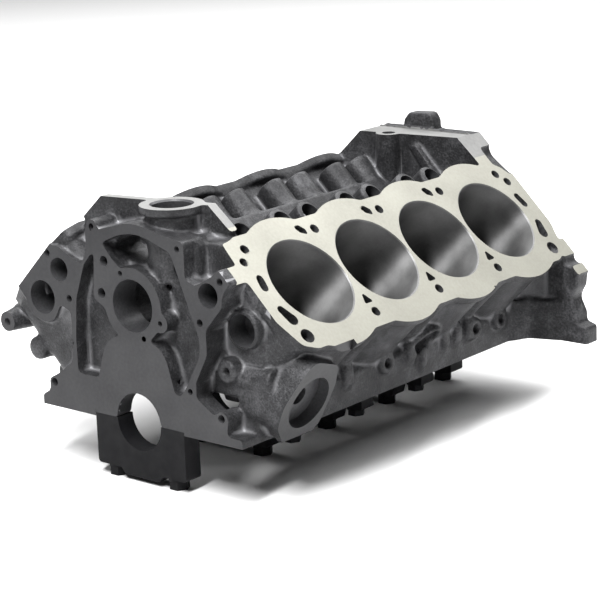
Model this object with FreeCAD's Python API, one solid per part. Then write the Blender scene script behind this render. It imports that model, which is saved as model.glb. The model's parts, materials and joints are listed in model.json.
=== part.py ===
import FreeCAD, Part
import math
import os
from FreeCAD import Vector

# ---------------------------------------------------------------------------
# Bare V8 cylinder block with its main bearing caps, in millimetres.
# X points to the driver's bank, Y rearward along the crankshaft, Z up.
# The origin is the crankshaft axis at the machined front face.
# ---------------------------------------------------------------------------

# Banks and bores
BORE_DIA = 104.0
BORE_PITCH = 111.25
BORE_COUNT = 4
DECK_HEIGHT = 208.4            # crankshaft axis to the deck, along the bore
FIRST_BORE = 111.25            # front face to the first bore of the driver's bank
BANK_OFFSET = 21.0             # the passenger's bank sits this much further forward
BORE_FOOT = 83.0               # the bores open into the crankcase from here up, along their axis
BORE_CHAMFER = 1.2
DECK_PLATE = 12.0
JACKET_LOW = 76.0              # foot of the jacket walls, along the bore
LOBE_R = 82.0                  # deck outline round each bore
DECK_HALF_WIDTH = 72.5         # deck outline between the bores
JACKET_R = 78.0                # water jacket wall round each bore
JACKET_HALF_WIDTH = 64.0
DECK_FRONT = 82.3              # first bore to the front edge of the deck
DECK_REAR = 82.5               # last bore to the rear edge of the deck
PASSENGER_FRONT = 1.0          # front edge of the passenger's deck

# Head bolts, dowels and coolant passages
HEAD_BOLT_ROW = 55.5           # bore centre line to each row of head bolts
HEAD_BOLT_R = 5.6
HEAD_BOLT_DEPTH = 48.0
DOWEL_R = 8.2
DOWEL_DEPTH = 9.0
COOLANT_DEPTH = 22.0
COOLANT_TRIANGLE = 7.0
COOLANT_OUTER_U = 37.0
COOLANT_INNER_U = -58.0
COOLANT_INNER_STEP = 20.0      # the valley-side holes lie this far ahead of the bolts
COLUMN_R = 14.0                # bolt columns of the outer jacket wall

# Crankcase
LENGTH = 530.0                 # front face to bell-housing face
CRANK_BORE_DIA = 62.0
RAIL_HALF_WIDTH = 143.4
RAIL_Z = -3.7                  # oil-pan rail face
RAIL_INNER = 118.0
SKIRT_INNER = 130.0
RAIL_LIP = 14.0
SKIRT_TOP = 31.0
CASE_R = 98.0                  # crankcase roof
WEB_THICKNESS = 22.0
FRONT_WEB = 22.5
WEB_2 = 144.5                  # front face to the second main bearing
REAR_WEB_FRONT = 467.0
SEAL_DIA = 101.6
SEAL_DEPTH = 25.0
CAM_HEIGHT = 125.2
CAM_BORE_DIA = 56.0
CAM_ROOM_R = 34.0
LIFTER_DIA = 22.2
LIFTER_TOP = 182.0
LIFTER_BOSS_R = 16.5
GALLERY_TOP = 146.0
GALLERY_SIDE = 106.0
DRIVER_LIFTERS = (-57.0, -11.0)       # from each bore centre
PASSENGER_LIFTERS = (-15.0, 31.0)
VALLEY_FLOOR = 160.0

# Side of the crankcase, from the front face for the driver's side
CORE_PLUG_Y = 300.0
CORE_PLUG_N = 133.0            # height of the core plugs, along the bore
CORE_PLUG_R = 18.0
CORE_RING_R = 23.0
CORE_RING_OUT = 80.0           # plug face, from the plane of the bore axes
SIDE_RIB_OUT = 7.0             # how far the side ribs stand out of the skirt
SIDE_RIB_TOP = 52.0
SIDE_RIB_FOOT = 12.0
SLOT_RIBS = (42.0, 66.0)       # ribs beside the deep slot, behind the rear core plug
MOUNT_BOSSES = (233.0, 398.0, 449.0)
MOUNT_BOSS_R = 13.0
MOUNT_BOSS_Z = 30.0
MOUNT_HOLE_R = 5.0

# Valley end walls
WALL_TOP = 228.7
WALL_NEAR = 49.75              # front of the valley wall at the driver's bank
WALL_THICKNESS = 12.0
DISTRIBUTOR_X = 27.0
DISTRIBUTOR_Y = 38.0
DISTRIBUTOR_R = 21.0

# Front face
POCKET_DEPTH = 18.0            # timing-gear recess
FRONT_FLANGE = 34.0            # depth of the front flange
CAM_RING = 12.5                # wall round the camshaft bore
ARCH_R = 64.0
ARCH_Z = 6.0
PLUG_X = 130.0                 # front core plug of the driver's bank
PLUG_Z = 113.0
PLUG_FACE = 22.0
PLUG_R = 17.0
OIL_BOSS_X = 112.0             # oil-gallery plug boss beside the front flange
OIL_BOSS_Z = 69.0
OIL_BOSS_FACE = 14.0
OIL_BOSS_HOLE = 4.0

# Bell-housing flange
BELL_THICKNESS = 22.0
REAR_WALL_DEPTH = 44.0
BELL_HOLE_DEPTH = 20.0
GUSSET_STEP = 44.0
GUSSET_TOP = 92.0

# Oil-filter pad
FILTER_TILT = 22.0
FILTER_OUT = 151.0
FILTER_Y = 66.0
FILTER_UP = 97.5
FILTER_R = 29.5

# Main bearing caps
CAP_FIT = 0.05
CAP_HALF_WIDTH = 63.5
CAP_SEAT = -55.0
CAP_RIB = -62.0
REAR_CAP_THICKNESS = 24.0
MAIN_BOLT_X = 43.0
MAIN_BOLT_R = 6.35
MAIN_BOLT_DEPTH = 50.0
OUTER_BOLT_X = 85.6
OUTER_SEAT = -35.5
OUTER_HALF_WIDTH = 102.0
OUTER_BOLT_R = 5.55
OUTER_BOLT_DEPTH = 26.0        # kept short of the cylinder bores
BOLT_HOLE_OVER = 2.0           # how far a bolt hole runs past its bolt
BOLT_HOLE_GAP = 0.05
CAP_HOLE_GAP = 0.4
WASHER_GAP = 0.3
WASHER_R = 11.5
OUTER_WASHER_R = 10.5
WASHER_T = 2.5
HEAD_AF = 19.0
HEAD_H = 9.5
OUTER_HEAD_AF = 17.0
OUTER_HEAD_H = 6.5

S = math.sqrt(0.5)
EPS = 1.0


# ---------------------------------------------------------------- helpers

def rounded_wire(corners, place):
    """Closed wire through (a, b) or (a, b, radius) corners, set in space by place(a, b)."""
    arcs = []
    count = len(corners)
    for i in range(count):
        here = Vector(corners[i][0], corners[i][1], 0)
        radius = corners[i][2] if len(corners[i]) > 2 else 0.0
        before = Vector(corners[i - 1][0], corners[i - 1][1], 0) - here
        after = Vector(corners[(i + 1) % count][0], corners[(i + 1) % count][1], 0) - here
        if radius <= 0:
            arcs.append((here, None, here))
            continue
        half = before.getAngle(after) / 2
        reach = radius / math.tan(half)
        before.normalize()
        after.normalize()
        start = here + before * reach
        end = here + after * reach
        towards = before + after
        towards.normalize()
        middle = here + towards * (radius / math.sin(half) - radius)
        arcs.append((start, middle, end))
    edges = []
    for i in range(count):
        start, middle, end = arcs[i]
        if middle is not None:
            edges.append(Part.Arc(place(start), place(middle), place(end)).toShape())
        following = arcs[(i + 1) % count][0]
        if end.distanceToPoint(following) > 1e-6:
            edges.append(Part.LineSegment(place(end), place(following)).toShape())
    return Part.Wire(edges)


def prism_y(corners, y0, y1):
    """Outline in (x, z), run along Y."""
    wire = rounded_wire(corners, lambda p: Vector(p.x, y0, p.y))
    return Part.Face(wire).extrude(Vector(0, y1 - y0, 0))


def prism_z(corners, z0, z1):
    """Outline in (x, y) or, in a bank's frame, (u, y), run along Z."""
    wire = rounded_wire(corners, lambda p: Vector(p.x, p.y, z0))
    return Part.Face(wire).extrude(Vector(0, 0, z1 - z0))


def box(x0, x1, y0, y1, z0, z1):
    return Part.makeBox(x1 - x0, y1 - y0, z1 - z0, Vector(x0, y0, z0))


def rod_y(x, z, r, y0, y1):
    return Part.makeCylinder(r, y1 - y0, Vector(x, y0, z), Vector(0, 1, 0))


def rod_z(x, y, r, z0, z1):
    return Part.makeCylinder(r, z1 - z0, Vector(x, y, z0))


def cone_z(x, y, r0, r1, z0, z1):
    return Part.makeCone(r0, r1, z1 - z0, Vector(x, y, z0))


def fuse(shapes):
    return shapes[0].multiFuse(list(shapes[1:]))


def mirrored(shape):
    return shape.mirror(Vector(0, 0, 0), Vector(1, 0, 0))


def to_bank(shape):
    """Set a shape made in a bank's frame (u across, y along, n up the bore) on the driver's side."""
    turned = shape.copy()
    matrix = FreeCAD.Matrix(S, 0, S, 0, 0, 1, 0, 0, -S, 0, S, 0, 0, 0, 0, 1)
    turned.Placement = FreeCAD.Placement(matrix)
    return turned


def bores(first):
    return [first + BORE_PITCH * i for i in range(BORE_COUNT)]


def bolt_rows(first):
    return [first + BORE_PITCH * (i - 0.5) for i in range(BORE_COUNT + 1)]


def webs():
    return [WEB_2 + BORE_PITCH * i for i in range(BORE_COUNT - 1)]


# ---------------------------------------------------------------- one bank, in its own frame

def deck_outline(front, rear):
    half = DECK_HALF_WIDTH
    return [(-half, front + 22.0, 6), (-62, front + 6.0, 8), (-34, front, 10), (31, front, 12),
            (64, front + 12.0, 10), (half, front + 30.0, 10), (half, rear - 30.0, 10),
            (64, rear - 12.0, 10), (31, rear, 12), (-34, rear, 10), (-62, rear - 9.0, 8),
            (-half, rear - 24.0, 6)]


def bank_solid(first, front, rear):
    """Deck, jacket walls and bolt columns of one bank."""
    top = DECK_HEIGHT
    under = top - DECK_PLATE
    low = JACKET_LOW
    parts = [prism_z(deck_outline(front, rear), under, top)]
    half = JACKET_HALF_WIDTH
    parts.append(prism_z([(-half, front + 4, 16), (half, front + 4, 16), (half, rear - 4, 16),
                          (-half, rear - 4, 16)], low, under + EPS))
    for y in bores(first):
        parts.append(rod_z(0, y, LOBE_R, under, top))
        barrel = rod_z(0, y, JACKET_R, low, under + EPS)
        parts.append(barrel.cut(box(-LOBE_R, -DECK_HALF_WIDTH, y - LOBE_R, y + LOBE_R, low, under)))
    for y in bolt_rows(first)[1:-1]:
        parts.append(rod_z(DECK_HALF_WIDTH - COLUMN_R, y, COLUMN_R, low + 30, under + EPS))
        parts.append(box(-DECK_HALF_WIDTH + 1, -half + 1, y - COLUMN_R, y + COLUMN_R, low + 30, under + EPS))
    return fuse(parts)


def coolant_hole(corners):
    """Cored coolant hole in the deck."""
    return prism_z(corners, DECK_HEIGHT - COOLANT_DEPTH, DECK_HEIGHT + EPS)


def outer_triangle(y):
    """Triangular coolant hole beside an outer head bolt, its point towards the bore centre line."""
    base = COOLANT_OUTER_U + COOLANT_TRIANGLE
    return coolant_hole([(COOLANT_OUTER_U - COOLANT_TRIANGLE, y - 1, 2), (base, y + COOLANT_TRIANGLE, 2),
                         (base, y - COOLANT_TRIANGLE, 2)])


def inner_triangle(y):
    """Skewed coolant hole on the valley side of the deck, ahead of an inner head bolt."""
    u = COOLANT_INNER_U
    size = COOLANT_TRIANGLE
    return coolant_hole([(u - size, y - size - 1, 3), (u - size, y + 1, 3), (u, y + size, 3),
                         (u + size, y + size * 0.8, 2), (u + 2, y - size * 0.5, 3)])


def slot(u0, y0, u1, y1, r0, r1):
    """Tapered slot between two round ends."""
    z0 = DECK_HEIGHT - COOLANT_DEPTH
    z1 = DECK_HEIGHT + EPS
    ends = [rod_z(u0, y0, r0, z0, z1), rod_z(u1, y1, r1, z0, z1)]
    along = Vector(u1 - u0, y1 - y0, 0)
    along.normalize()
    side = Vector(-along.y, along.x, 0)
    a = Vector(u0, y0, 0)
    b = Vector(u1, y1, 0)
    corners = [a + side * r0, b + side * r1, b - side * r1, a - side * r0]
    ends.append(prism_z([(c.x, c.y) for c in corners], z0, z1))
    return fuse(ends)


def bank_cuts(first):
    """Bores, bolt holes, dowel seats and coolant passages of one bank."""
    top = DECK_HEIGHT
    r = BORE_DIA / 2
    cuts = []
    for y in bores(first):
        cuts.append(rod_z(0, y, r, BORE_FOOT, top + EPS))
        cuts.append(cone_z(0, y, r, r + BORE_CHAMFER + EPS, top - BORE_CHAMFER, top + EPS))
    rows = bolt_rows(first)
    for y in rows:
        for u in (-HEAD_BOLT_ROW, HEAD_BOLT_ROW):
            cuts.append(rod_z(u, y, HEAD_BOLT_R, top - HEAD_BOLT_DEPTH, top + EPS))
    for y in (rows[0], rows[-1]):
        cuts.append(rod_z(HEAD_BOLT_ROW, y, DOWEL_R, top - DOWEL_DEPTH, top + EPS))
    for y in rows[1:-1]:
        cuts.append(outer_triangle(y))
        cuts.append(inner_triangle(y - COOLANT_INNER_STEP))
    cuts.append(rod_z(-42, rows[0] - 12.8, 5.5, top - COOLANT_DEPTH, top + EPS))
    cuts.append(rod_z(-42, rows[-1] + 10.5, 5.5, top - COOLANT_DEPTH, top + EPS))
    for row, way in ((rows[0], -1), (rows[-1], 1)):
        cuts.append(slot(-20, row + way * 7.5, -8.5, row + way * 10.0, 4.5, 4.8))
        cuts.append(slot(20, row + way * 9.0, 33.5, row + way * 4.0, 4.8, 6.8))
    return Part.makeCompound(cuts)


def core_plug_rings(shift):
    """Raised rings round the core plugs, square to the outer jacket wall."""
    rings = []
    for y in (CORE_PLUG_Y - 2 * BORE_PITCH, CORE_PLUG_Y):
        rings.append(Part.makeCylinder(CORE_RING_R, 30.0, Vector(CORE_RING_OUT - 30.0, y + shift, CORE_PLUG_N),
                                       Vector(1, 0, 0)))
    return fuse(rings)


def core_plug_cuts(shift):
    """Core-plug holes in the outer jacket wall."""
    cuts = []
    for y in (CORE_PLUG_Y - 2 * BORE_PITCH, CORE_PLUG_Y):
        cuts.append(Part.makeCylinder(CORE_PLUG_R, 16.0, Vector(CORE_RING_OUT - 14.0, y + shift, CORE_PLUG_N),
                                      Vector(1, 0, 0)))
    return Part.makeCompound(cuts)


def side_rib(y, half, foot):
    """Rounded rib from the jacket wall down onto the skirt."""
    w = RAIL_HALF_WIDTH
    out = w + SIDE_RIB_OUT
    top = SIDE_RIB_TOP
    profile = [(w - 16, top + 8), (w - 8, top + 2, 4), (out, top - 10, 8), (out, foot + 12, 8), (w - 1, foot),
               (w - 16, foot)]
    return prism_y(profile, y - half, y + half)


def side_ribs(shift):
    """Ribs under the bolt columns and core plugs, and the engine-mount bosses."""
    parts = []
    for y in bolt_rows(FIRST_BORE)[1:-1]:
        parts.append(side_rib(y + shift, 8, SIDE_RIB_FOOT))
    for y in (CORE_PLUG_Y - 2 * BORE_PITCH, CORE_PLUG_Y):
        parts.append(side_rib(y + shift, 5, 0))
    for offset in SLOT_RIBS:
        parts.append(side_rib(CORE_PLUG_Y + offset + shift, 6, SIDE_RIB_FOOT))
    for y in MOUNT_BOSSES:
        start = Vector(RAIL_HALF_WIDTH - 26, y + shift, MOUNT_BOSS_Z)
        parts.append(Part.makeCylinder(MOUNT_BOSS_R, 26 + SIDE_RIB_OUT, start, Vector(1, 0, 0)))
    return fuse(parts)


def mount_cuts(shift):
    """Tapped holes of the engine mounts."""
    cuts = []
    for y in MOUNT_BOSSES:
        start = Vector(RAIL_HALF_WIDTH - 12, y + shift, MOUNT_BOSS_Z)
        cuts.append(Part.makeCylinder(MOUNT_HOLE_R, 13 + SIDE_RIB_OUT, start, Vector(1, 0, 0)))
    return Part.makeCompound(cuts)


def lifter_gallery(first, offsets):
    """Tappet gallery of one bank, with a boss round each tappet bore."""
    centre = -S * CAM_HEIGHT
    y0 = first - 75
    y1 = bores(first)[-1] + 60
    parts = [box(-GALLERY_SIDE, -JACKET_HALF_WIDTH + 2, y0, y1, 84, GALLERY_TOP)]
    for y in bores(first):
        for offset in offsets:
            parts.append(rod_z(centre, y + offset, LIFTER_BOSS_R, GALLERY_TOP - 5, LIFTER_TOP))
    return fuse(parts)


def lifter_cuts(first, offsets):
    centre = -S * CAM_HEIGHT
    cuts = []
    for y in bores(first):
        for offset in offsets:
            cuts.append(rod_z(centre, y + offset, LIFTER_DIA / 2, CAM_HEIGHT * S, LIFTER_TOP + EPS))
    return Part.makeCompound(cuts)


# ---------------------------------------------------------------- crankcase

def case_solid():
    """Skirts, roof and valley floor, over the whole length."""
    w = RAIL_HALF_WIDTH
    profile = [(-w, RAIL_Z), (w, RAIL_Z), (w, SKIRT_TOP), (88, 106), (40, VALLEY_FLOOR - 8),
               (40, VALLEY_FLOOR), (-40, VALLEY_FLOOR), (-40, VALLEY_FLOOR - 8), (-88, 106), (-w, SKIRT_TOP)]
    return prism_y(profile, 24, LENGTH - 4)


def case_cuts():
    """Room for the crankshaft and camshaft between the webs, and the register under them."""
    rears = [y - WEB_THICKNESS / 2 for y in webs()] + [REAR_WEB_FRONT]
    fronts = [FRONT_WEB + 8] + [y + WEB_THICKNESS / 2 for y in webs()]
    cuts = []
    for y0, y1 in zip(fronts, rears):
        cuts.append(rod_y(0, 0, CASE_R, y0, y1))
        cuts.append(box(-RAIL_INNER, RAIL_INNER, y0, y1, RAIL_Z - EPS, RAIL_LIP))
        cuts.append(box(-SKIRT_INNER, SKIRT_INNER, y0, y1, RAIL_LIP - EPS, SKIRT_TOP))
        cuts.append(rod_y(0, CAM_HEIGHT, CAM_ROOM_R, y0, y1))
    cuts.append(box(-RAIL_INNER, RAIL_INNER, FRONT_WEB, FRONT_WEB + 9, RAIL_Z - EPS, 40))
    return Part.makeCompound(cuts)


# ---------------------------------------------------------------- front face

def flange_outline():
    """Machined front flange, driver's side clockwise from the top of the arch."""
    return [(-46, 200, 10), (3, 214, 60), (60, 203, 8), (76, 201, 4), (76, 163, 4), (88, 158, 8),
            (122, 176, 8), (134, 168, 8), (124, 148, 20), (124, 140, 8), (101, 114, 8), (101, 88, 10),
            (84, 56, 6), (84, 40, 5), (108, 25, 4), (116, 34, 6), (126, 26, 6), (123, 6, 4), (143.4, 6),
            (143.4, RAIL_Z), (-143.4, RAIL_Z), (-143.4, 7), (-131, 14, 3), (-132, 27, 6), (-118, 34, 6),
            (-96, 49, 6), (-92, 60, 8), (-92, 106, 4), (-107, 112, 4), (-118, 92, 16), (-134, 89, 18),
            (-160, 100, 20), (-160, 128, 20), (-128, 150, 6), (-128, 174, 10), (-106, 176, 10),
            (-72, 158, 10), (-63, 178, 12), (-63, 205, 6)]


def opening_outline():
    """Timing-gear opening inside the flange."""
    return [(-43, 186, 6), (3, 206, 70), (57, 188, 8), (75, 143, 10), (91, 104, 12), (91, 86, 10), (74, 55, 6),
            (62, 38, 3), (54, 40, 1), (40, 90, 30), (-40, 90, 30), (-56, 40, 3), (-86, 40, 5), (-86, 80, 8),
            (-82, 122, 10), (-68, 160, 10), (-56, 174, 3), (-50, 174, 3)]


def cam_flange():
    """Ring round the camshaft bore, with the thrust-plate and oil-way bosses joined to it."""
    bosses = [rod_y(0, CAM_HEIGHT, CAM_BORE_DIA / 2 + CAM_RING, 0, FRONT_FLANGE)]
    for x, z, r in ((38, 112, 10.5), (14, 92, 9.5), (-44, 133, 12), (-38, 168, 12)):
        bosses.append(rod_y(x, z, r, 0, FRONT_FLANGE))
    web = [(-56, 128), (-30, 110), (-10, 160), (-26, 172), (-42, 190), (-52, 178)]
    bosses.append(prism_y(web, 0, FRONT_FLANGE))
    return fuse(bosses)


def distributor_column():
    return rod_z(DISTRIBUTOR_X, DISTRIBUTOR_Y, DISTRIBUTOR_R + 7, 150, WALL_TOP - 8)


def timing_pocket():
    """Recess of the timing gears, round the front main bearing and the camshaft flange."""
    pocket = prism_y(opening_outline(), -EPS, POCKET_DEPTH)
    return pocket.cut([rod_y(0, ARCH_Z, ARCH_R, -EPS, POCKET_DEPTH + EPS), cam_flange(), distributor_column()])


def drilled(x, z, r, depth):
    """Hole drilled in the front face."""
    return rod_y(x, z, r, -EPS, depth)


def front_cuts():
    """Holes of the front face."""
    cuts = []
    for x, z in ((-53.4, 203.0), (66.5, 192.8), (-92.9, 72.7), (75.3, 45.5)):
        cuts.append(drilled(x, z, 3.4, 22))
    for x, z in ((122.5, 166.3), (-122.5, 166.3), (93.1, 120.4), (-93.1, 120.4)):
        cuts.append(drilled(x, z, 4.0, 26))
    for x, z in ((-38, 168), (-44, 133)):
        cuts.append(drilled(x, z, 5.6, 40))
    for x, z in ((-15.2, 157.7), (13.9, 92.0), (37.9, 111.6)):
        cuts.append(drilled(x, z, 3.0, 18))
    for x, z in ((116.4, 23.7), (-123.9, 23.6)):
        cuts.append(drilled(x, z, 4.6, 14))
    cuts.append(rod_y(106, 150.3, 13.0, -EPS, 70))
    cuts.append(rod_y(-106, 150.3, 13.0, -EPS, 50))
    cuts.append(rod_y(-133.8, 116.7, 18.5, -EPS, 34))
    cuts.append(rod_y(PLUG_X, PLUG_Z, PLUG_R, PLUG_FACE - EPS, PLUG_FACE + 24))
    cuts.append(rod_y(OIL_BOSS_X, OIL_BOSS_Z, OIL_BOSS_HOLE, OIL_BOSS_FACE - EPS, OIL_BOSS_FACE + 20))
    cuts.append(Part.makeCylinder(4.5, 18.0, Vector(-193.0, -EPS, 80.6), Vector(0.14, 1, 0.1)))
    cuts.append(prism_y([(-40, 184, 5), (-5, 198, 20), (14, 180, 5), (2, 168, 4), (-28, 172, 4)], 10, 60))
    cuts.append(prism_y([(50, 179, 4), (60, 184, 5), (76, 134, 5), (64, 130, 4), (46, 164, 5)], 10, 44))
    cuts.append(prism_y([(-62, 166, 3), (-53, 172, 3), (-50, 152, 3), (-74, 140, 3)], 10, 44))
    return Part.makeCompound(cuts)


def timing_chest():
    """Roof and sides of the timing chest, from the flange back to the valley wall."""
    top = [(-62, 150), (-62, 196, 8), (-30, 203, 10), (3, 208, 40), (44, 203, 10), (80, 196, 6), (80, 150)]
    chest = prism_y(top, POCKET_DEPTH, WALL_NEAR + 6)
    flank = [(58, 60), (58, 196), (96, 196, 6), (112, 180, 8), (150, 128, 14), (150, 60, 14), (128, 40, 10)]
    bank_front = prism_y(flank, PLUG_FACE + 8, WALL_NEAR + 6)
    return fuse([chest, bank_front])


def front_bosses():
    """Bolt bosses, core-plug ring and oil-way bosses in front of the driver's bank."""
    parts = [rod_y(-53.4, 203.0, 8, 0, WALL_NEAR - BANK_OFFSET), rod_y(66.5, 192.8, 8.5, 0, WALL_NEAR)]
    parts.append(rod_y(PLUG_X, PLUG_Z, PLUG_R + 4.0, PLUG_FACE, WALL_NEAR))
    parts.append(rod_y(122.5, 166.3, 10.5, 0, WALL_NEAR))
    parts.append(rod_y(OIL_BOSS_X, OIL_BOSS_Z, 12.5, OIL_BOSS_FACE, WALL_NEAR))
    parts.append(Part.makeCylinder(15.0, 70.0, Vector(92, 36, 60), Vector(1, 0, 0)))
    parts.append(Part.makeCylinder(17.0, 60.0, Vector(100, 40, 28), Vector(1, 0, 0)))
    return fuse(parts)


def passenger_bosses():
    """Accessory bosses low on the passenger's side, seen past the front face."""
    upper = Part.makeCone(10.5, 19.0, 66.0, Vector(-193.6, -4, 80.2), Vector(0.14, 1, 0.1))
    upper = upper.cut(box(-260, -150, -20, 0, 0, 160))
    lower = rod_y(-152, 56, 13.0, 3, 44)
    outline = [(-118, 20), (-118, 34, 6), (-145, 44, 4), (-160, 58, 8), (-150, 74, 10), (-120, 90), (-90, 90),
               (-90, 20)]
    fill = prism_y(outline, 20, 60)
    return fuse([upper, lower, fill])


# ---------------------------------------------------------------- valley end walls

def deck_planes(y0, y1):
    """Everything above both decks, for trimming the end walls."""
    over = to_bank(box(-260, 260, y0, y1, DECK_HEIGHT, DECK_HEIGHT + 200))
    return [over, mirrored(over)]


def front_wall():
    """Wall across the front of the valley, set askew by the bank offset, with the distributor boss."""
    t = WALL_THICKNESS
    near = WALL_NEAR + 4
    far = WALL_NEAR - BANK_OFFSET - 4
    plan = [(-90, far), (90, near), (90, near + t), (-90, far + t)]
    wall = prism_z(plan, 150, WALL_TOP)
    top = rod_z(DISTRIBUTOR_X, DISTRIBUTOR_Y, DISTRIBUTOR_R + 13, WALL_TOP - 9, WALL_TOP)
    return fuse([wall, top, distributor_column()]).cut(deck_planes(0, 120))


def rear_wall():
    """Wall across the rear of the valley, askew like the front one, with its boss and ribs."""
    front = LENGTH - REAR_WALL_DEPTH
    back = LENGTH - BELL_THICKNESS + EPS
    wall = prism_z([(-100, front - BANK_OFFSET), (100, front + 2), (100, back), (-100, back)], 120, WALL_TOP)
    boss = rod_z(-20, front - 2, 12, 150, WALL_TOP)
    rib = prism_y([(2, WALL_TOP - 14), (14, WALL_TOP - 10), (58, 168), (42, 160)], front - 14, front + 10)
    whole = fuse([wall, boss, rib]).cut(deck_planes(400, 560))
    outline = [(-32, 200), (-32, 238, 3), (-24, 248, 4), (8, 250, 4), (14, 240, 3), (14, 200)]
    lug = prism_y(outline, LENGTH - 20, LENGTH - 3)
    return whole.fuse(lug)


def bell_outline():
    """Bell-housing flange seen from behind, the same on both sides."""
    half = [(62, WALL_TOP, 4), (77, 219, 4), (82, 203, 20), (120, 174, 30), (160, 130, 12), (174, 112, 8),
            (190, 111, 6), (199, 88, 6), (216, 82, 6), (214, 62, 8), (206, 48, 12), (215, 30, 8), (215, 19, 4),
            (228, 16, 3), (228, RAIL_Z)]
    left = [(-p[0],) + tuple(p[1:]) for p in reversed(half)]
    return half + left


def bell_flange():
    return prism_y(bell_outline(), LENGTH - BELL_THICKNESS, LENGTH)


def bell_gussets():
    """Webs that carry the flange's lower corners back to the skirt, one on top of the other."""
    back = LENGTH - 8
    w = RAIL_HALF_WIDTH
    front = LENGTH - 62
    low = prism_z([(100, front), (w, front, 20), (w + 12, front + 28, 10), (214, LENGTH - 16), (214, back),
                   (100, back)], RAIL_Z, GUSSET_STEP)
    high = prism_z([(90, front + 14), (w - 10, front + 14, 16), (185, LENGTH - 14), (185, back), (90, back)],
                   GUSSET_STEP - 4, GUSSET_TOP)
    side = fuse([low, high])
    return fuse([side, mirrored(side)])


def bell_cuts():
    cuts = []
    for x, z, r in ((70, 212, 5.6), (205, 75, 5.6), (220, 6, 5.6)):
        for side in (-1, 1):
            cuts.append(rod_y(side * x, z, r, LENGTH - BELL_HOLE_DEPTH, LENGTH + EPS))
    cuts.append(rod_y(0, 0, SEAL_DIA / 2, LENGTH - SEAL_DEPTH, LENGTH + EPS))
    return Part.makeCompound(cuts)


# ---------------------------------------------------------------- outside bosses

def filter_frame(shape):
    """Turn a shape made with Z as the pad's normal, X rearward and Y up the pad."""
    tilt = math.radians(FILTER_TILT)
    c = math.cos(tilt)
    s = math.sin(tilt)
    matrix = FreeCAD.Matrix(0, s, c, 0, 1, 0, 0, FILTER_Y, 0, c, -s, 0, 0, 0, 0, 1)
    turned = shape.copy()
    turned.Placement = FreeCAD.Placement(matrix)
    return turned


def filter_pad():
    corners = [(-12, 150, 16), (34, 134, 14), (38, 108, 12), (30, 64, 14), (20, 56, 10), (-24, 54, 10),
               (-42, 78, 12), (-42, 104, 10), (-26, 132, 10)]
    pad = filter_frame(prism_z(corners, FILTER_OUT - 60, FILTER_OUT))
    return pad.cut(box(0, 260, 0, 160, RAIL_Z - 60, RAIL_Z))


def filter_cuts():
    recess = rod_z(0, FILTER_UP, FILTER_R, FILTER_OUT - 14, FILTER_OUT + EPS)
    centre = rod_z(0, FILTER_UP, 10.0, FILTER_OUT - 50, FILTER_OUT)
    feed = rod_z(-13, FILTER_UP - 15, 5.0, FILTER_OUT - 50, FILTER_OUT)
    return filter_frame(fuse([recess, centre, feed]))


# ---------------------------------------------------------------- main bearing caps and their bolts

def bolt_sets(four_bolt):
    """(distance from the crankshaft, radius, depth in the casting) of each pair of cap bolts."""
    inner = (MAIN_BOLT_X, MAIN_BOLT_R, MAIN_BOLT_DEPTH)
    outer = (OUTER_BOLT_X, OUTER_BOLT_R, OUTER_BOLT_DEPTH)
    return (inner, outer) if four_bolt else (inner,)


def main_cap(y0, y1, four_bolt):
    """Bearing cap: half bore, seats for the bolts and a rib between them."""
    w = CAP_HALF_WIDTH - CAP_FIT
    if four_bolt:
        v = OUTER_HALF_WIDTH
        corners = [(-v, 0), (v, 0), (v, OUTER_SEAT, 3), (w + 2, OUTER_SEAT, 4), (w - 4, CAP_SEAT, 3),
                   (30, CAP_SEAT, 3), (24, CAP_RIB, 4), (-24, CAP_RIB, 4), (-30, CAP_SEAT, 3),
                   (-w + 4, CAP_SEAT, 3), (-w - 2, OUTER_SEAT, 4), (-v, OUTER_SEAT, 3)]
    else:
        corners = [(-w, 0), (w, 0), (w, CAP_SEAT, 4), (30, CAP_SEAT, 3), (24, CAP_RIB, 4), (-24, CAP_RIB, 4),
                   (-30, CAP_SEAT, 3), (-w, CAP_SEAT, 4)]
    cap = prism_y(corners, y0, y1)
    middle = bolt_y(y0, y1)
    cuts = [rod_y(0, 0, CRANK_BORE_DIA / 2, y0 - EPS, y1 + EPS)]
    for x, r, depth in bolt_sets(four_bolt):
        for side in (-1, 1):
            cuts.append(rod_z(side * x, middle, r + CAP_HOLE_GAP, CAP_SEAT - EPS, EPS))
    return cap.cut(Part.makeCompound(cuts))


def bolt_y(y0, y1):
    return (y0 + y1) / 2


def hex_head(x, y, top, af, height):
    """Hexagon head hanging from top."""
    r = af / math.sqrt(3)
    points = []
    for k in range(6):
        angle = math.radians(60 * k)
        points.append((x + r * math.cos(angle), y + r * math.sin(angle)))
    return prism_z(points, top - height, top)


def bolts(x, y, seat, r, depth, af, height):
    """The same bolt on each side of the crankshaft, its head against its washer."""
    pair = []
    for side in (-1, 1):
        head = hex_head(side * x, y, seat - WASHER_T, af, height)
        pair.append(head.fuse(rod_z(side * x, y, r, seat - WASHER_T - EPS, depth)))
    return Part.makeCompound(pair)


def washers(x, y, seat, r_in, r_out):
    """The same washer on each side of the crankshaft."""
    pair = []
    for side in (-1, 1):
        ring = rod_z(side * x, y, r_out, seat - WASHER_T, seat)
        pair.append(ring.cut(rod_z(side * x, y, r_in, seat - WASHER_T - EPS, seat + EPS)))
    return Part.makeCompound(pair)


def caps():
    """(name, front, rear, four bolt) of each main bearing cap."""
    spans = [(0.0, FRONT_WEB, False)]
    for y in webs():
        spans.append((y - WEB_THICKNESS / 2, y + WEB_THICKNESS / 2, True))
    spans.append((REAR_WEB_FRONT, REAR_WEB_FRONT + REAR_CAP_THICKNESS, False))
    return [("%d" % (i + 1),) + span for i, span in enumerate(spans)]


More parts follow.
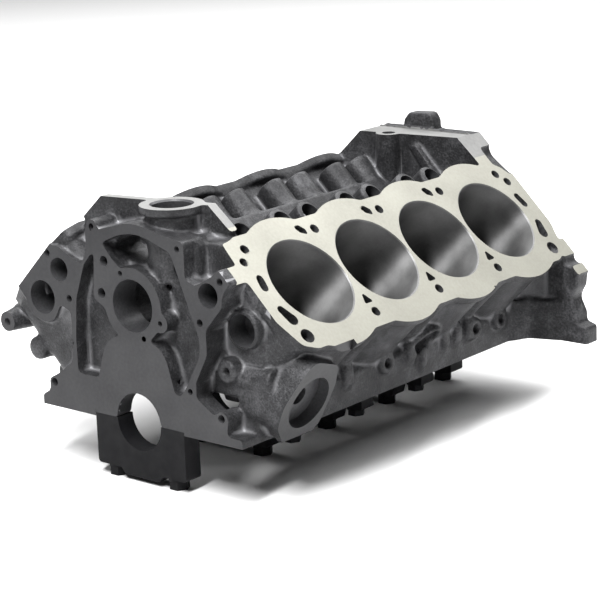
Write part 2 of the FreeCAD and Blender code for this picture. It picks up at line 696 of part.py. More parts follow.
def cap_cuts():
    """Registers, bolt holes and bearing bore in the casting."""
    cuts = [rod_y(0, 0, CRANK_BORE_DIA / 2, -EPS, LENGTH + EPS)]
    for name, y0, y1, four_bolt in caps():
        w = OUTER_HALF_WIDTH if four_bolt else CAP_HALF_WIDTH
        front = y0 - EPS if y0 == 0 else y0
        rear = y1 if name != "5" else LENGTH + EPS
        cuts.append(box(-w - CAP_FIT, w + CAP_FIT, front, rear, RAIL_Z - EPS, 0))
        for x, r, depth in bolt_sets(four_bolt):
            for side in (-1, 1):
                cuts.append(rod_z(side * x, bolt_y(y0, y1), r + BOLT_HOLE_GAP, -EPS, depth + BOLT_HOLE_OVER))
    return Part.makeCompound(cuts)


# ---------------------------------------------------------------- build

def cylinder_block():
    """The casting: everything fused, then machined."""
    driver_front = FIRST_BORE - DECK_FRONT
    driver_rear = bores(FIRST_BORE)[-1] + DECK_REAR
    first = FIRST_BORE - BANK_OFFSET
    driver = to_bank(bank_solid(FIRST_BORE, driver_front, driver_rear))
    passenger = mirrored(to_bank(bank_solid(first, PASSENGER_FRONT, driver_rear - BANK_OFFSET)))
    shell = fuse([driver, passenger, case_solid(),
                  to_bank(lifter_gallery(FIRST_BORE, DRIVER_LIFTERS)),
                  mirrored(to_bank(lifter_gallery(first, PASSENGER_LIFTERS))),
                  to_bank(core_plug_rings(0)), mirrored(to_bank(core_plug_rings(-BANK_OFFSET))),
                  side_ribs(0), mirrored(side_ribs(-BANK_OFFSET)),
                  prism_y(flange_outline(), 0, FRONT_FLANGE), cam_flange(), timing_chest(), front_bosses(),
                  passenger_bosses(),
                  front_wall(), rear_wall(), bell_flange(), bell_gussets(), filter_pad()])
    shell = shell.cut([case_cuts(), timing_pocket()])
    cuts = [to_bank(bank_cuts(FIRST_BORE)),
            mirrored(to_bank(bank_cuts(first))),
            to_bank(core_plug_cuts(0)), mirrored(to_bank(core_plug_cuts(-BANK_OFFSET))),
            mount_cuts(0), mirrored(mount_cuts(-BANK_OFFSET)),
            to_bank(lifter_cuts(FIRST_BORE, DRIVER_LIFTERS)),
            mirrored(to_bank(lifter_cuts(first, PASSENGER_LIFTERS))),
            front_cuts(), bell_cuts(), filter_cuts(), cap_cuts(),
            rod_y(0, CAM_HEIGHT, CAM_BORE_DIA / 2, -EPS, LENGTH + EPS),
            rod_z(DISTRIBUTOR_X, DISTRIBUTOR_Y, DISTRIBUTOR_R, 140, WALL_TOP + EPS),
            cone_z(DISTRIBUTOR_X, DISTRIBUTOR_Y, DISTRIBUTOR_R, DISTRIBUTOR_R + 3, WALL_TOP - 2,
                   WALL_TOP + EPS)]
    return shell.cut(cuts)


def export(name, shape):
    shape.exportStep("parts/" + name + ".step")


os.makedirs("parts", exist_ok=True)
export("cylinder_block", cylinder_block())
for name, y0, y1, four_bolt in caps():
    export("main_cap_" + name, main_cap(y0, y1, four_bolt))
    y = bolt_y(y0, y1)
    export("cap_" + name + "_bolts",
           bolts(MAIN_BOLT_X, y, CAP_SEAT, MAIN_BOLT_R, MAIN_BOLT_DEPTH, HEAD_AF, HEAD_H))
    export("cap_" + name + "_washers", washers(MAIN_BOLT_X, y, CAP_SEAT, MAIN_BOLT_R + WASHER_GAP, WASHER_R))
    if four_bolt:
        export("cap_" + name + "_outer_bolts",
               bolts(OUTER_BOLT_X, y, OUTER_SEAT, OUTER_BOLT_R, OUTER_BOLT_DEPTH, OUTER_HEAD_AF, OUTER_HEAD_H))
        export("cap_" + name + "_outer_washers",
               washers(OUTER_BOLT_X, y, OUTER_SEAT, OUTER_BOLT_R + WASHER_GAP, OUTER_WASHER_R))
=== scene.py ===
import itertools
import json
import math

import bmesh
import bpy
import numpy as np
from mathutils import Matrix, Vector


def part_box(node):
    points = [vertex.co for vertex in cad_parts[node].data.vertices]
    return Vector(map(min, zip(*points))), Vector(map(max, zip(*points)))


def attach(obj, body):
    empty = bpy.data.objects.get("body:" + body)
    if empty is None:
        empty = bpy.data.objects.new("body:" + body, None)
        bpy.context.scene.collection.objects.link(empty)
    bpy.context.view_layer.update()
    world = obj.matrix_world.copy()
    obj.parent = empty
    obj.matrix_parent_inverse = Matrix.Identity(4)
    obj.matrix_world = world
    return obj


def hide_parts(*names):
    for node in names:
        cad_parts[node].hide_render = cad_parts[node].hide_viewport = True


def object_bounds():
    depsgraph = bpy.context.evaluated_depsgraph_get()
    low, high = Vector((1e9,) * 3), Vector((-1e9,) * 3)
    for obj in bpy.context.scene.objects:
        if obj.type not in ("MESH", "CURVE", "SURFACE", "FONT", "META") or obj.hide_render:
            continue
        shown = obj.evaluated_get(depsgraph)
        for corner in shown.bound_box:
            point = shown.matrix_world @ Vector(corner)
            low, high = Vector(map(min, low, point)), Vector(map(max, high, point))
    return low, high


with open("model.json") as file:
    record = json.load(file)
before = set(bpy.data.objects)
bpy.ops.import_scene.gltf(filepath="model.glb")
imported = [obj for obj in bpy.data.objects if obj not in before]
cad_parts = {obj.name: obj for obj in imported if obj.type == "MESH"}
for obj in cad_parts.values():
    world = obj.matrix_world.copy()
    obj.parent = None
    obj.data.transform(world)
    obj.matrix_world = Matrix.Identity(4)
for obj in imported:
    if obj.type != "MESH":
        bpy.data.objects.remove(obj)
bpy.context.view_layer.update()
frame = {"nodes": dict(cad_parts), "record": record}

import openvdb
from mathutils import Matrix, Vector
from mathutils.bvhtree import BVHTree

MOUNTS = {m["name"]: m for m in frame["record"]["mounts"]}
BLOCK = "cylinder_block"

# ---------------------------------------------------------------- casting skin: sizes in metres
VOXEL = 0.0015            # grid of the softened casting
SOFTEN = 1.15             # blur of the sand-cast corners, in voxels
STOCK = 0.006             # machining stock left outside each machined face before it is cut
BAND = 6.0                # width of the distance field each side of the surface, in voxels
SKIN_TRIANGLES = 116000   # triangles of the softened casting before its faces and holes are cut
SEGMENTS = 96             # sides of a large bore's cutter
RING_STEP = 0.011         # longest step of a cutter along its hole
CELL = 0.008              # cells of a cutter's flat face: smaller than any hole in it
SLAB_OVER = 0.016         # how far a slab reaches past its face
SLAB_UP = 0.02            # thickness of a slab
CUTTER_UP = 0.012         # how far a hole's cutter stands out of the face
ON_FACE = 2e-5            # how near a point lies to a face to belong to it
SPOKES = 12               # rays that feel out the wall of a hole
BIG_HOLE_R = 0.02         # a hole wider than this gets SEGMENTS sides
SMALL_SEGMENTS = 32
PLUG_OVER = 0.0015        # how much wider than its hole a plug is
WINDOW_SPAN = 0.04        # longest side of a coolant opening
WINDOW_DEPTH = 0.022
CAP_GAP = 0.0003          # room between a cap and its register
CRANK_R = MOUNTS["crank_bore"]["dims"]["r_mm"] / 1000
LINE_BORE = 0.54          # depth of the crank bore's cutter, right through the block
LIFTER_TOP = 0.182        # height of the tappet bosses along the bank
WALL_TOP = 0.2287         # height of the valley's end walls
DECK_EDGE = 0.1175        # height less distance from the middle at the deck's valley edge
PLUG_FACE = 0.022         # distance of the front core plugs' face behind the front face
FILTER_ROOM = ((0.10, -0.06, -0.02), (0.26, 0.045, 0.08))   # the filter pad is cut in here, Y from the pad
WALL_ROOM = ((-0.2, -0.01, 0.2), (0.2, 0.508, 0.3))         # the wall tops are cut in here
SENDER_AT = (-0.027, 0.4746)   # upright boss of the pressure sender, in front of the rear wall
SENDER_R = 0.0155
SENDER_HOLE_R = 0.0080
SENDER_HOLE_DEPTH = 0.035
SENDER_FOOT = 0.150            # height of the boss's foot

# FACE is the slot of the machined faces, whose dark colour is painted shade
CAST, DECK, FACE, HONED, DRILLED, TOP = range(6)   # material slots of the casting


def mesh_arrays(obj):
    """Welded vertices and triangles of an object."""
    me = obj.data
    me.calc_loop_triangles()
    co = np.empty(len(me.vertices) * 3, np.float32)
    me.vertices.foreach_get("co", co)
    tri = np.empty(len(me.loop_triangles) * 3, np.int32)
    me.loop_triangles.foreach_get("vertices", tri)
    co = co.reshape(-1, 3)
    key = np.round(co * 1e6).astype(np.int64)
    first, back = np.unique(key, axis=0, return_index=True, return_inverse=True)[1:]
    tri = back.ravel()[tri.reshape(-1, 3)]
    good = (tri[:, 0] != tri[:, 1]) & (tri[:, 1] != tri[:, 2]) & (tri[:, 0] != tri[:, 2])
    return co[first], tri[good]


def make_object(name, co, faces):
    me = bpy.data.meshes.new(name)
    me.from_pydata([tuple(v) for v in co], [], [tuple(f) for f in faces])
    me.validate()
    obj = bpy.data.objects.new(name, me)
    bpy.context.scene.collection.objects.link(obj)
    return obj


class Face:
    """A machined face: outward normal, distance from the origin, and the box it is cut within."""

    def __init__(self, name, normal, distance, material, low=None, high=None):
        self.name = name
        self.n = np.array(normal, float) / np.linalg.norm(normal)
        self.d = distance
        self.material = material
        self.low = np.array(low if low is not None else (-1, -1, -1), float)
        self.high = np.array(high if high is not None else (1, 1, 1), float)


def mount_face(name, material, low=None, high=None):
    m = MOUNTS[name]
    n = np.array(m["axis"], float)
    n /= np.linalg.norm(n)
    return Face(name, n, float(np.dot(n, m["pos_m"])), material, low, high)


def machined_faces():
    """Both decks first, and the wall tops last."""
    filter_y = MOUNTS["filter_pad"]["pos_m"][1]
    filter_room = [(x, filter_y + y, z) for x, y, z in FILTER_ROOM]
    return [mount_face("driver_deck", DECK), mount_face("passenger_deck", DECK),
            mount_face("front_face", FACE), mount_face("bell_face", FACE), mount_face("pan_rail", FACE),
            mount_face("filter_pad", FACE, *filter_room),
            Face("wall_tops", (0, 0, 1), WALL_TOP, TOP, *WALL_ROOM)]


def drilled_faces(faces):
    """Faces that holes start from: the machined ones and the tappet and core-plug bosses."""
    return faces + [Face("tappets_driver", faces[0].n, LIFTER_TOP, CAST),
                    Face("tappets_passenger", faces[1].n, LIFTER_TOP, CAST),
                    Face("front_plug", (0, -1, 0), -PLUG_FACE, CAST)]


def loops_in(co, tri, face):
    """Closed outlines of the triangles that lie in a face, each as points in order."""
    off = co @ face.n - face.d
    t = tri[np.all(np.abs(off[tri]) < ON_FACE, axis=1)]
    open_edges = {}
    for a, b in np.concatenate([t[:, [0, 1]], t[:, [1, 2]], t[:, [2, 0]]]).tolist():
        if (b, a) in open_edges:
            del open_edges[(b, a)]
        else:
            open_edges[(a, b)] = True
    after = {}
    for a, b in open_edges:
        after.setdefault(a, []).append(b)
    loops = []
    while after:
        start = next(iter(after))
        loop = []
        here = start
        while here in after:
            loop.append(here)
            outs = after[here]
            nxt = outs.pop()
            if not outs:
                del after[here]
            here = nxt
            if here == start:
                break
        if len(loop) > 2:
            loops.append(co[loop].astype(float))
    return loops


def plane_axes(n):
    """Two directions in the plane across n, square to each other."""
    a = np.cross(n, (0, 1.0, 0)) if abs(n[1]) < 0.9 else np.array((1.0, 0, 0))
    a = a / np.linalg.norm(a)
    return a, np.cross(n, a)


def read_loop(points, face):
    """(centre, radius or None, is a hole) of an outline."""
    a, b = plane_axes(face.n)
    middle = points.mean(0)
    x, y = (points - middle) @ a, (points - middle) @ b
    area = 0.5 * np.sum(x * np.roll(y, -1) - np.roll(x, -1) * y)
    fit = np.linalg.lstsq(np.c_[2 * x, 2 * y, np.ones(len(x))], x * x + y * y, rcond=None)[0]
    centre = middle + fit[0] * a + fit[1] * b
    r = math.sqrt(max(fit[2] + fit[0] ** 2 + fit[1] ** 2, 0))
    spread = np.max(np.abs(np.linalg.norm(points - centre, axis=1) - r))
    round_hole = len(points) >= 8 and spread < max(5e-5, 0.006 * r) and abs(area) > 2.2 * r * r
    return centre, (r if round_hole else None), area < 0


def hole_profile(tree, face, centre, mouth):
    """[(depth, radius), ...] of a round hole, felt out with rays, and how deep to cut it."""
    n = Vector(face.n)
    a, b = (Vector(v) for v in plane_axes(face.n))
    turns = [2 * math.pi * (k + 0.37) / SPOKES for k in range(SPOKES)]
    spokes = [a * math.cos(t) + b * math.sin(t) for t in turns]
    c = Vector(centre)
    steps = [(0.0, mouth)]
    depth = 0.0004
    while depth < 0.2:
        hits = [tree.ray_cast(c - n * depth, w, mouth * 1.1) for w in spokes]
        reach = sorted(h[3] for h in hits if h[0] is not None)
        if len(reach) < 9 or reach[8] - reach[0] > 0.0006:
            break
        if abs(reach[4] - steps[-1][1]) > 8e-5:
            steps.append((depth, reach[4]))
        depth += 0.0004 if depth < 0.003 else 0.001
    floor = tree.ray_cast(c - n * max(depth - 0.0015, 0.0003), -n)
    if floor[0] is not None and floor[3] < 0.003:
        return steps, max(depth - 0.0015, 0.0003) + floor[3]
    return steps, depth + 0.003


def lathe(face, centre, steps, depth, segments):
    """Closed cutter of a hole: its steps turned about its axis, standing out of the face."""
    a, b = plane_axes(face.n)
    angles = [2 * math.pi * k / segments for k in range(segments)]
    turns = [(math.cos(t), math.sin(t)) for t in angles]
    corners = [(CUTTER_UP, steps[0][1]), (0.0, steps[0][1])]
    for d, r in steps[1:]:
        if r < corners[-1][1] - 0.0015 and d > 0.003:
            corners.append((-(d - 0.0005), corners[-1][1]))
        corners.append((-d, r))
    corners.append((-depth, corners[-1][1]))
    rings = corners[:1]
    for (h0, r0), (h1, r1) in zip(corners, corners[1:]):
        parts = max(1, math.ceil((h0 - h1) / RING_STEP))
        rings += [(h0 + (h1 - h0) * k / parts, r0 + (r1 - r0) * k / parts) for k in range(1, parts + 1)]
    co, quads = [], []
    for h, r in rings:
        co += [centre + face.n * h + (a * x + b * y) * r for x, y in turns]
    for i in range(len(rings) - 1):
        for k in range(segments):
            p, q = i * segments + k, i * segments + (k + 1) % segments
            quads.append((p, p + segments, q + segments, q))
    last = (len(rings) - 1) * segments
    quads += [tuple(range(segments)), tuple(last + segments - 1 - k for k in range(segments))]
    return co, quads


def prism(points, face, depth):
    """Closed cutter of an outline that isn't round."""
    count = len(points)
    co = [p + face.n * CUTTER_UP for p in points] + [p - face.n * depth for p in points]
    quads = [(k, (k + 1) % count, count + (k + 1) % count, count + k) for k in range(count)]
    quads += [tuple(range(count - 1, -1, -1)), tuple(count + k for k in range(count))]
    return co, quads


def slab(face, co):
    """Cutter that takes the stock off a machined face, its underside in small cells."""
    a, b = plane_axes(face.n)
    foot = face.n * face.d
    near = co[np.abs(co @ face.n - face.d) < ON_FACE]
    inside = near[np.all((near > face.low) & (near < face.high), axis=1)]
    room = np.array([(x, y, z) for x, y, z in itertools.product(*zip(face.low, face.high))])
    spans = []
    for axis in (a, b):
        at, limit = (inside - foot) @ axis, (room - foot) @ axis
        spans.append((max(at.min() - SLAB_OVER, limit.min()), min(at.max() + SLAB_OVER, limit.max())))
    return cell_box(foot, a, b, face.n, *spans)


def cell_box(foot, a, b, n, us, vs):
    """Box on the plane through foot, its face on that plane cut into cells."""
    nu = math.ceil((us[1] - us[0]) / CELL)
    nv = math.ceil((vs[1] - vs[0]) / CELL)
    along, across = np.linspace(us[0], us[1], nu + 1), np.linspace(vs[0], vs[1], nv + 1)
    co = [foot + a * u + b * v for u in along for v in across]
    at = lambda i, j: i * (nv + 1) + j
    faces = []
    for i in range(nu):
        for j in range(nv):
            faces.append((at(i, j), at(i, j + 1), at(i + 1, j)))
            faces.append((at(i + 1, j), at(i, j + 1), at(i + 1, j + 1)))
    top = len(co)
    corners = ((us[0], vs[0]), (us[1], vs[0]), (us[1], vs[1]), (us[0], vs[1]))
    co += [foot + a * u + b * v + n * SLAB_UP for u, v in corners]
    faces.append((top, top + 1, top + 2, top + 3))
    faces.append(tuple(at(i, 0) for i in range(nu + 1)) + (top + 1, top))
    faces.append(tuple(at(nu, j) for j in range(nv + 1)) + (top + 2, top + 1))
    faces.append(tuple(at(i, nv) for i in range(nu, -1, -1)) + (top + 3, top + 2))
    faces.append(tuple(at(0, j) for j in range(nv, -1, -1)) + (top, top + 3))
    return co, faces


def softened(co, tri, faces, plugs):
    """The casting before machining: stock on its faces, holes plugged, corners softened."""
    low = co.min(0) - (STOCK + 4 * VOXEL)
    high = co.max(0) + (STOCK + 4 * VOXEL)
    size = np.ceil((high - low) / VOXEL).astype(int) + 1
    grid = openvdb.FloatGrid.createLevelSetFromPolygons(
        ((co - low) / VOXEL).astype(np.float32), triangles=tri.astype(np.uint32), halfWidth=BAND)
    field = np.empty(tuple(size), np.float32)
    grid.copyToArray(field)
    axes = [low[i] + VOXEL * np.arange(size[i]) for i in range(3)]
    for centre, n, r, depth in plugs:
        ends = np.array([centre + n * 0.001, centre - n * depth])
        i0 = np.maximum(np.floor((ends.min(0) - r - 0.004 - low) / VOXEL).astype(int), 0)
        i1 = np.minimum(np.ceil((ends.max(0) + r + 0.004 - low) / VOXEL).astype(int) + 1, size)
        x, y, z = np.meshgrid(*[axes[i][i0[i]:i1[i]] for i in range(3)], indexing="ij", sparse=True)
        dx, dy, dz = x - centre[0], y - centre[1], z - centre[2]
        h = dx * n[0] + dy * n[1] + dz * n[2]
        radial = np.sqrt(np.maximum(dx * dx + dy * dy + dz * dz - h * h, 0)) - r
        solid = np.maximum(radial, np.maximum(h - 0.001, -h - depth)) / VOXEL
        part = field[i0[0]:i1[0], i0[1]:i1[1], i0[2]:i1[2]]
        np.minimum(part, np.clip(solid, -BAND, BAND), out=part)
    for face in faces:
        x, y, z = np.meshgrid(*axes, indexing="ij", sparse=True)
        h = (x * face.n[0] + y * face.n[1] + z * face.n[2] - face.d).astype(np.float32)
        room = True
        for v, first, last in zip((x, y, z), face.low, face.high):
            room = room & (v > first) & (v < last)
        near = room & (h > -0.0012) & (h < STOCK)
        idx = np.argwhere(near)
        depth = h[near]
        at = idx - ((depth + 0.0020) / VOXEL)[:, None] * face.n[None, :]
        base = np.clip(np.floor(at).astype(int), 0, size - 2)
        f = (at - base).astype(np.float32)
        value = np.zeros(len(idx), np.float32)
        for corner in itertools.product((0, 1), repeat=3):
            w = math.prod(f[:, i] if c else 1 - f[:, i] for i, c in enumerate(corner))
            value += w * field[tuple((base + corner).T)]
        beyond = (h[near] - STOCK + 0.0015) / VOXEL
        field[near] = np.maximum(value, beyond)
        field[room & (h >= STOCK) & (h < STOCK + 0.003)] = BAND
    taps = np.arange(-3, 4)
    kernel = np.exp(-taps ** 2 / (2 * SOFTEN ** 2))
    kernel /= kernel.sum()
    for axis in range(3):
        pad = np.pad(field, [(3, 3) if i == axis else (0, 0) for i in range(3)], mode="edge")
        total = np.zeros_like(field)
        for t, k in zip(taps, kernel):
            window = [slice(None)] * 3
            window[axis] = slice(3 + t, 3 + t + size[axis])
            total += np.float32(k) * pad[tuple(window)]
        field = total
    out = openvdb.FloatGrid(BAND)
    out.copyFromArray(field)
    points, tris, quads = out.convertToPolygons(isovalue=0.0, adaptivity=0.0)
    points = points * VOXEL + low
    quads = quads[:, ::-1]
    return points, np.concatenate([quads[:, [0, 1, 2]], quads[:, [0, 2, 3]], tris[:, ::-1]])


def cut(target, name, pieces, material):
    """Take a group of closed cutters off the target, their walls in the given material."""
    co, faces = [], []
    for c, f in pieces:
        shift = len(co)
        co += [tuple(v) for v in c]
        faces += [tuple(i + shift for i in q) for q in f]
    tool = make_object(name, co, faces)
    for m in target.data.materials:
        tool.data.materials.append(m)
    for p in tool.data.polygons:
        p.material_index = material
    point_outward(tool)
    mod = target.modifiers.new(name, "BOOLEAN")
    mod.operation = "DIFFERENCE"
    mod.solver = "MANIFOLD"
    mod.object = tool
    bpy.context.view_layer.objects.active = target
    with bpy.context.temp_override(object=target, active_object=target):
        bpy.ops.object.modifier_apply(modifier=name)
    bpy.data.objects.remove(tool)


def point_outward(obj):
    """Point a closed cutter's faces outward."""
    bm = bmesh.new()
    bm.from_mesh(obj.data)
    bmesh.ops.recalc_face_normals(bm, faces=bm.faces)
    bm.to_mesh(obj.data)
    bm.free()


def find_openings(co, tri, faces):
    """Round holes as (face, centre, steps, depth), and coolant openings as (face, outline)."""
    tree = BVHTree.FromPolygons(co.tolist(), tri.tolist())
    holes, windows = [], []
    for face in drilled_faces(faces):
        for points in loops_in(co, tri, face):
            centre, r, hole = read_loop(points, face)
            if not hole:
                continue
            if r:
                steps, depth = hole_profile(tree, face, centre, r)
                holes.append((face, centre, steps, depth))
            elif face.material == DECK and np.ptp(points, axis=0).max() < WINDOW_SPAN:
                windows.append((face, points))
    return holes, windows


def fill_in(holes, windows):
    """Plugs of the openings, so that softening leaves no trace of them."""
    plugs = []
    for face, centre, steps, depth in holes:
        ends = [d + 0.0005 for d, _ in steps[1:]] + [depth]
        plugs += [(centre, face.n, r + PLUG_OVER, end) for (_, r), end in zip(steps, ends)]
    for face, points in windows:
        middle = points.mean(0)
        reach = np.linalg.norm(points - middle, axis=1).max() + 0.001
        plugs.append((middle, face.n, reach, WINDOW_DEPTH + 0.002))
    return plugs


def thin_out(obj):
    """Bring the softened casting down to SKIN_TRIANGLES."""
    mod = obj.modifiers.new("fewer", "DECIMATE")
    mod.ratio = min(1.0, SKIN_TRIANGLES / len(obj.data.polygons))
    bpy.context.view_layer.objects.active = obj
    with bpy.context.temp_override(object=obj, active_object=obj):
        bpy.ops.object.modifier_apply(modifier="fewer")


def cap_registers():
    """Cutters of the flats that the main caps sit on."""
    x, y, down = np.array((1.0, 0, 0)), np.array((0, 1.0, 0)), np.array((0.0, 0.0, -1.0))
    registers = []
    for k in range(1, 6):
        low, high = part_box("main_cap_%d" % k)
        spans = [(low[i] - CAP_GAP, high[i] + CAP_GAP) for i in (0, 1)]
        registers.append(cell_box(np.zeros(3), x, y, down, *spans))
    return registers


def block_skin(materials):
    """The casting as it is shown: softened, then with its holes and faces machined."""
    co, tri = mesh_arrays(frame["nodes"][BLOCK])
    faces = machined_faces()
    holes, windows = find_openings(co, tri, faces)
    sender_top = np.array((*SENDER_AT, WALL_TOP))
    sender = (sender_top, faces[-1].n, SENDER_R, WALL_TOP - SENDER_FOOT)
    skin = make_object("block_casting", *softened(co, tri, faces, fill_in(holes, windows) + [sender]))
    for m in materials:
        skin.data.materials.append(m)
    thin_out(skin)
    small = [lathe(faces[-1], sender_top, [(0.0, SENDER_HOLE_R)], SENDER_HOLE_DEPTH, SMALL_SEGMENTS)]
    cylinders = []
    for face, centre, steps, depth in holes:
        big = steps[0][1] > BIG_HOLE_R
        shape = lathe(face, centre, steps, depth, SEGMENTS if big else SMALL_SEGMENTS)
        (cylinders if big and face.material == DECK else small).append(shape)
    cut(skin, "bores", cylinders, HONED)
    cut(skin, "drilled", small, DRILLED)
    cut(skin, "windows", [prism(p, f, WINDOW_DEPTH) for f, p in windows], CAST)
    front = Face("front", (0, -1, 0), 0.0, FACE)
    cut(skin, "line_bore", [lathe(front, np.zeros(3), [(0.0, CRANK_R)], LINE_BORE, SEGMENTS)], FACE)
    cut(skin, "registers", cap_registers(), FACE)
    for face in faces:
        cut(skin, "cut_" + face.name, [slab(face, co)], face.material)
    for p in skin.data.polygons:
        if p.material_index == DECK and p.center.z - abs(p.center.x) > DECK_EDGE:
            p.material_index = TOP
    bpy.context.view_layer.update()
    return skin


# ---------------------------------------------------------------- materials

def material(name, base, rough, metallic=0.0):
    m = bpy.data.materials.new(name)
    m.use_nodes = True
    nt = m.node_tree
    bsdf = nt.nodes["Principled BSDF"]
    bsdf.inputs["Base Color"].default_value = (*base, 1)
    bsdf.inputs["Roughness"].default_value = rough
    bsdf.inputs["Metallic"].default_value = metallic
    return m, nt, bsdf


def node(nt, kind, **values):
    n = nt.nodes.new(kind)
    for k, v in values.items():
        if hasattr(n, k):
            setattr(n, k, v)
        else:
            n.inputs[k].default_value = v
    return n


def noise(nt, coords, scale, detail=4.0, rough=0.55):
    n = node(nt, "ShaderNodeTexNoise")
    n.inputs["Scale"].default_value = scale
    n.inputs["Detail"].default_value = detail
    n.inputs["Roughness"].default_value = rough
    nt.links.new(coords, n.inputs["Vector"])
    return n.outputs["Fac"]


def ramp(nt, fac, stops):
    n = node(nt, "ShaderNodeValToRGB")
    els = n.color_ramp.elements
    els[0].position, els[0].color = stops[0][0], (*stops[0][1], 1)
    els[1].position, els[1].color = stops[-1][0], (*stops[-1][1], 1)
    for p, c in stops[1:-1]:
        e = els.new(p)
        e.color = (*c, 1)
    nt.links.new(fac, n.inputs["Fac"])
    return n.outputs["Color"]


def math_node(nt, op, a, b):
    n = node(nt, "ShaderNodeMath", operation=op)
    for i, v in enumerate((a, b)):
        if isinstance(v, (int, float)):
            n.inputs[i].default_value = v
        else:
            nt.links.new(v, n.inputs[i])
    return n.outputs[0]


def weighted(nt, first, second):
    """Sum of two sockets, each times its weight."""
    return math_node(nt, "ADD", math_node(nt, "MULTIPLY", *first), math_node(nt, "MULTIPLY", *second))


def bump(nt, height, strength, distance, normal=None):
    n = node(nt, "ShaderNodeBump")
    n.inputs["Strength"].default_value = strength
    n.inputs["Distance"].default_value = distance
    nt.links.new(height, n.inputs["Height"])
    if normal is not None:
        nt.links.new(normal, n.inputs["Normal"])
    return n.outputs["Normal"]


def object_coords(nt):
    return node(nt, "ShaderNodeTexCoord").outputs["Object"]


def cast_iron():
    """Sand-cast iron: charcoal skin with a fine grain, broad brighter patches, and a painted highlight on
    the ridges.
    """
    m, nt, bsdf = material("cast_iron", (0.05, 0.05, 0.053), 0.42, 0.35)
    bsdf.inputs["Specular IOR Level"].default_value = 0.22
    co = object_coords(nt)
    broad = noise(nt, co, 16, 3)
    patches = noise(nt, co, 75, 5, 0.6)
    grain = noise(nt, co, 430, 3, 0.7)
    mixed = weighted(nt, (broad, 0.3), (patches, 0.3))
    mixed = math_node(nt, "ADD", mixed, math_node(nt, "MULTIPLY", grain, 0.4))
    col = ramp(nt, mixed, [(0.36, (0.014, 0.014, 0.015)), (0.5, (0.036, 0.036, 0.038)),
                           (0.64, (0.095, 0.095, 0.100))])
    # painted highlight: where pointiness is high, on convex edges, the colour is blended towards a light
    # grey
    painted_edge_highlight = ramp(nt, pointiness(nt), [(0.51, (0, 0, 0)), (0.56, (1, 1, 1))])
    nt.links.new(blend(nt, painted_edge_highlight, col, (0.24, 0.24, 0.25)), bsdf.inputs["Base Color"])
    nt.links.new(ramp(nt, grain, [(0.3, (0.34,) * 3), (0.7, (0.58,) * 3)]), bsdf.inputs["Roughness"])
    n1 = bump(nt, patches, 0.30, 0.0010)
    nt.links.new(bump(nt, grain, 0.7, 0.0009, n1), bsdf.inputs["Normal"])
    return m


def pointiness(nt):
    """High on convex edges, where the casting's skin gets its painted highlight."""
    return node(nt, "ShaderNodeNewGeometry").outputs["Pointiness"]


def blend(nt, fac, a, colour):
    n = node(nt, "ShaderNodeMix", data_type="RGBA")
    nt.links.new(fac, n.inputs[0])
    nt.links.new(a, n.inputs[6])
    n.inputs[7].default_value = (*colour, 1)
    return n.outputs[2]


def milled(name, dark, light, rough, scale):
    """Machined metal between two shades, with a fine cutter grain."""
    m, nt, bsdf = material(name, light, rough, 0.35)
    co = object_coords(nt)
    fine = noise(nt, co, scale, 3)
    broad = noise(nt, co, 14, 2)
    mixed = weighted(nt, (fine, 0.35), (broad, 0.65))
    nt.links.new(ramp(nt, mixed, [(0.3, dark), (0.7, light)]), bsdf.inputs["Base Color"])
    bsdf.inputs["Specular IOR Level"].default_value = 0.3
    nt.links.new(bump(nt, fine, 0.12, 0.0002), bsdf.inputs["Normal"])
    return m


def honed_bore():
    """Honed cylinder wall: dark, with fine scratches round the bore that stretch its highlight."""
    m, nt, bsdf = material("honed_bore", (0.3, 0.3, 0.3), 0.48, 0.8)
    co = object_coords(nt)
    broad = noise(nt, co, 26, 4)
    speckle = noise(nt, co, 420, 3)
    mixed = weighted(nt, (broad, 0.85), (speckle, 0.15))
    col = ramp(nt, mixed, [(0.3, (0.12, 0.12, 0.12)), (0.7, (0.22, 0.22, 0.22))])
    nt.links.new(col, bsdf.inputs["Base Color"])
    nt.links.new(ramp(nt, broad, [(0.3, (0.44,) * 3), (0.7, (0.52,) * 3)]), bsdf.inputs["Roughness"])
    nt.links.new(bump(nt, speckle, 0.04, 0.0001), bsdf.inputs["Normal"])
    bsdf.inputs["Anisotropic"].default_value = 0.95
    bsdf.inputs["Anisotropic Rotation"].default_value = 0.25
    nt.links.new(round_the_bore(nt), bsdf.inputs["Tangent"])
    return m


def round_the_bore(nt):
    """Direction round a cylinder bore: its axis leans to the side of the block that it is on."""
    geometry = node(nt, "ShaderNodeNewGeometry")
    place = node(nt, "ShaderNodeSeparateXYZ")
    nt.links.new(geometry.outputs["Position"], place.inputs[0])
    side = node(nt, "ShaderNodeMath", operation="SIGN")
    nt.links.new(place.outputs["X"], side.inputs[0])
    axis = node(nt, "ShaderNodeCombineXYZ")
    nt.links.new(side.outputs[0], axis.inputs["X"])
    axis.inputs["Z"].default_value = 1.0
    turn = node(nt, "ShaderNodeVectorMath", operation="CROSS_PRODUCT")
    nt.links.new(axis.outputs[0], turn.inputs[0])
    nt.links.new(geometry.outputs["Normal"], turn.inputs[1])
    return turn.outputs[0]


def black_oxide():
    """Blackened steel of the caps, bolts and washers."""
    m, nt, bsdf = material("black_oxide", (0.006, 0.006, 0.007), 0.55)
    bsdf.inputs["Specular IOR Level"].default_value = 0.12
    co = object_coords(nt)
    fine = noise(nt, co, 700, 4)
    col = ramp(nt, noise(nt, co, 60, 3), [(0.3, (0.004, 0.004, 0.005)), (0.7, (0.010, 0.010, 0.011))])
    nt.links.new(col, bsdf.inputs["Base Color"])
    nt.links.new(bump(nt, fine, 0.25, 0.0003), bsdf.inputs["Normal"])
    return m


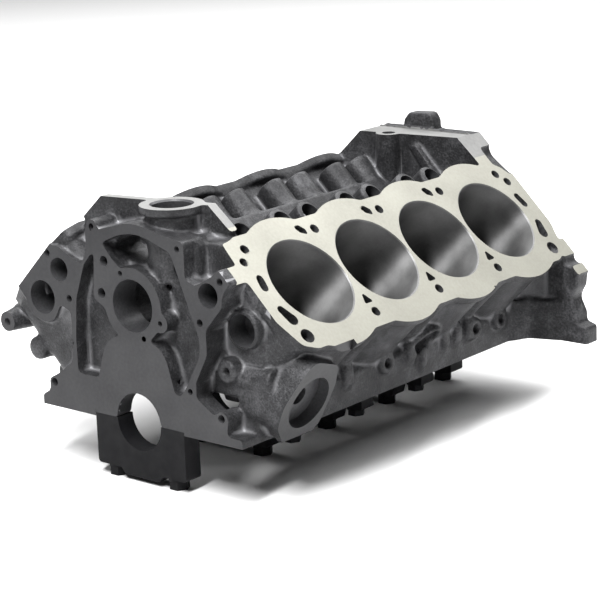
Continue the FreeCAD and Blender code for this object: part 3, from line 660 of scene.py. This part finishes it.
# ---------------------------------------------------------------- scene
WORLD = 0.11               # strength of the white surroundings
TOP_POWER = 380            # watts of the broad light over the block
STRIP_POWER = 105          # watts of the narrow light that streaks the bores
FLOOR_HALF = 9
CAMERA_TURN = (-0.7005, -0.2531, -0.0374)      # yaw, pitch and roll
CAMERA_AT = (1.45542, -1.45889, 0.65612)
CAMERA_LENS = 123.92
CAMERA_SENSOR = 36


def camera():
    """Camera at the front of the driver's side, its roll about its own axis."""
    yaw, pitch, roll = CAMERA_TURN
    d = Vector((math.sin(yaw) * math.cos(pitch), math.cos(yaw) * math.cos(pitch), math.sin(pitch)))
    r = d.cross(Vector((0, 0, 1))).normalized()
    u = r.cross(d)
    right = math.cos(roll) * r + math.sin(roll) * u
    up = -math.sin(roll) * r + math.cos(roll) * u
    cam = bpy.data.cameras.new("camera")
    cam.lens, cam.sensor_width = CAMERA_LENS, CAMERA_SENSOR
    obj = bpy.data.objects.new("camera", cam)
    place = Matrix((right, up, -d)).transposed().to_4x4()
    place.translation = CAMERA_AT
    obj.matrix_world = place
    bpy.context.scene.collection.objects.link(obj)
    bpy.context.scene.camera = obj


def area_light(name, at, target, size, power):
    light = bpy.data.lights.new(name, "AREA")
    light.shape = "RECTANGLE"
    light.size, light.size_y = size
    light.energy = power
    obj = bpy.data.objects.new(name, light)
    obj.location = at
    obj.rotation_euler = (Vector(target) - Vector(at)).to_track_quat("-Z", "Y").to_euler()
    bpy.context.scene.collection.objects.link(obj)


def studio():
    floor_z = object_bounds()[0][2]
    me = bpy.data.meshes.new("floor")
    corners = [(-1, -1), (1, -1), (1, 1), (-1, 1)]
    me.from_pydata([(x * FLOOR_HALF, y * FLOOR_HALF, floor_z) for x, y in corners], [], [(0, 1, 2, 3)])
    floor = bpy.data.objects.new("floor", me)
    bpy.context.scene.collection.objects.link(floor)
    m, nt, bsdf = material("floor", (0.80, 0.80, 0.80), 0.9)
    floor.data.materials.append(m)
    world = bpy.data.worlds.new("world")
    bpy.context.scene.world = world
    world.use_nodes = True
    world.node_tree.nodes["Background"].inputs["Color"].default_value = (1, 1, 1, 1)
    world.node_tree.nodes["Background"].inputs["Strength"].default_value = WORLD
    area_light("top", (-0.5, 1.6, 3.2), (0.0, 0.9, 0.0), (5.0, 5.0), TOP_POWER)
    area_light("strip", (0.45, -1.15, 2.2), (0.05, 0.2, 0.15), (0.30, 1.4), STRIP_POWER)
    bpy.context.scene.view_settings.view_transform = "Standard"


cast = cast_iron()
deck = milled("machined_deck", (0.27, 0.265, 0.23), (0.36, 0.355, 0.31), 0.38, 300)
# painted shade: the machined front, bell, pan-rail, filter-pad, line-bore and register faces get a much
# darker copy of the decks' machined metal
face = milled("machined_face", (0.020, 0.020, 0.022), (0.044, 0.044, 0.046), 0.36, 260)
top = milled("machined_top", (0.17, 0.17, 0.168), (0.27, 0.27, 0.265), 0.45, 260)
honed = honed_bore()
drilled = milled("drilled_hole", (0.030, 0.030, 0.032), (0.10, 0.10, 0.105), 0.40, 400)
black = black_oxide()

skin = block_skin([cast, deck, face, honed, drilled, top])
skin.data.shade_smooth()
skin.data.set_sharp_from_angle(angle=math.radians(32))
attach(skin, "root")
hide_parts(BLOCK)
for name, obj in frame["nodes"].items():
    if name != BLOCK:
        obj.data.materials.clear()
        obj.data.materials.append(black)

camera()
studio()
